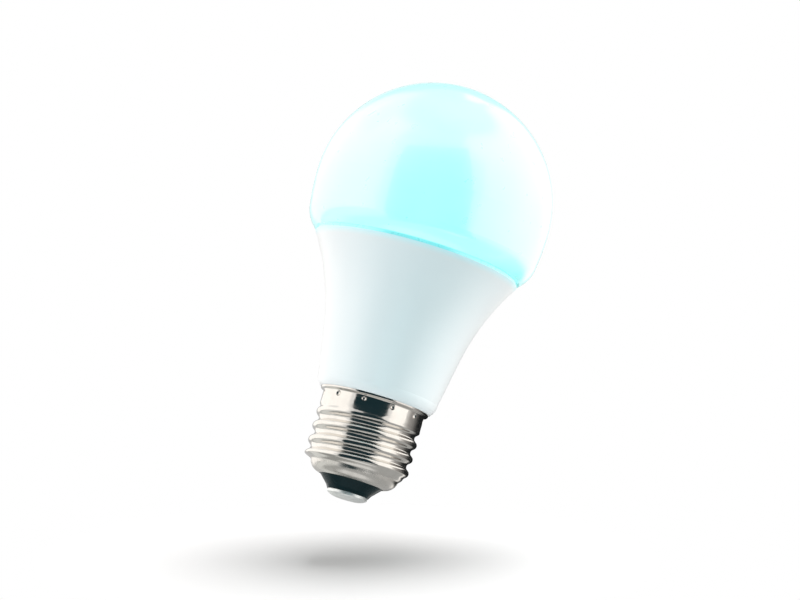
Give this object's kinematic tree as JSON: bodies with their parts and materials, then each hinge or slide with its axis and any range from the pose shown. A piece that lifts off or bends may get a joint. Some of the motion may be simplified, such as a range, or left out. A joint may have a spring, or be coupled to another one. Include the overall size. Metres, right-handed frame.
{
  "type": "smart light bulb",
  "caption": "Screw-cap smart light bulb: milky dome glowing cyan, white flared housing and threaded nickel cap, with its radio, driver and coloured light board inside.",
  "frame": {"origin": "middle of the centre contact's flat face, the bulb's lowest point", "axes": "+Z along the bulb's axis from the cap to the dome; -Y is the front, the side that the camera sees"},
  "size_m": [0.06, 0.06, 0.1074],
  "materials": {
    "diffuser_dome": "gloss milky polycarbonate, lit cyan from inside",
    "dome_seal": "satin silicone",
    "housing_shell": "satin moulded white plastic",
    "heat_sink_cup": "satin drawn sheet",
    "thermal_pad": "matte",
    "led_board": "satin white solder mask on aluminium",
    "white_leds": "satin",
    "colour_leds": "satin",
    "board_screws": "satin zinc plated",
    "board_socket": "matte",
    "pin_strip": "matte",
    "strip_pins": "polished",
    "driver_board": "satin green solder mask on glass fibre",
    "insulation_sleeve": "gloss film",
    "input_capacitor": "satin printed sleeve, plain",
    "output_capacitor": "satin printed sleeve, plain",
    "film_capacitor": "gloss epoxy",
    "surge_varistor": "gloss epoxy",
    "bridge_rectifier": "matte",
    "flyback_diode": "matte",
    "transformer_core": "matte ferrite",
    "transformer_bobbin": "matte",
    "transformer_winding": "gloss tape over copper",
    "choke_core": "matte ferrite",
    "choke_winding": "enamelled copper",
    "driver_chip": "matte",
    "colour_chip": "matte",
    "regulator_chip": "matte",
    "chip_resistors": "satin",
    "chip_capacitors": "satin",
    "radio_board": "satin blue solder mask",
    "radio_shield": "satin tinned sheet",
    "radio_chip": "matte",
    "radio_pins": "polished",
    "radio_antenna": "satin",
    "fusible_resistor": "satin",
    "resistor_sleeve": "satin shrunk tube",
    "live_lead": "polished tinned copper",
    "neutral_lead": "polished tinned copper",
    "screw_shell": "polished nickel plate",
    "cap_insulator": "satin black moulded insulator",
    "centre_contact": "satin nickel plate"
  },
  "bodies": {
    "root": {"diffuser_dome": "diffuser_dome", "dome_seal": "dome_seal", "housing_shell": "housing_shell", "heat_sink_cup": "heat_sink_cup", "thermal_pad": "thermal_pad", "led_board": "led_board", "white_leds": "white_leds", "colour_leds": "colour_leds", "board_screws": "board_screws", "board_socket": "board_socket", "pin_strip": "pin_strip", "strip_pins": "strip_pins", "driver_board": "driver_board", "insulation_sleeve": "insulation_sleeve", "input_capacitor": "input_capacitor", "output_capacitor": "output_capacitor", "film_capacitor": "film_capacitor", "surge_varistor": "surge_varistor", "bridge_rectifier": "bridge_rectifier", "flyback_diode": "flyback_diode", "transformer_core": "transformer_core", "transformer_bobbin": "transformer_bobbin", "transformer_winding": "transformer_winding", "choke_core": "choke_core", "choke_winding": "choke_winding", "driver_chip": "driver_chip", "colour_chip": "colour_chip", "regulator_chip": "regulator_chip", "chip_resistors": "chip_resistors", "chip_capacitors": "chip_capacitors", "radio_board": "radio_board", "radio_shield": "radio_shield", "radio_chip": "radio_chip", "radio_pins": "radio_pins", "radio_antenna": "radio_antenna", "fusible_resistor": "fusible_resistor", "resistor_sleeve": "resistor_sleeve", "live_lead": "live_lead", "neutral_lead": "neutral_lead", "screw_shell": "screw_shell", "cap_insulator": "cap_insulator", "centre_contact": "centre_contact"}
  },
  "joints": []
}
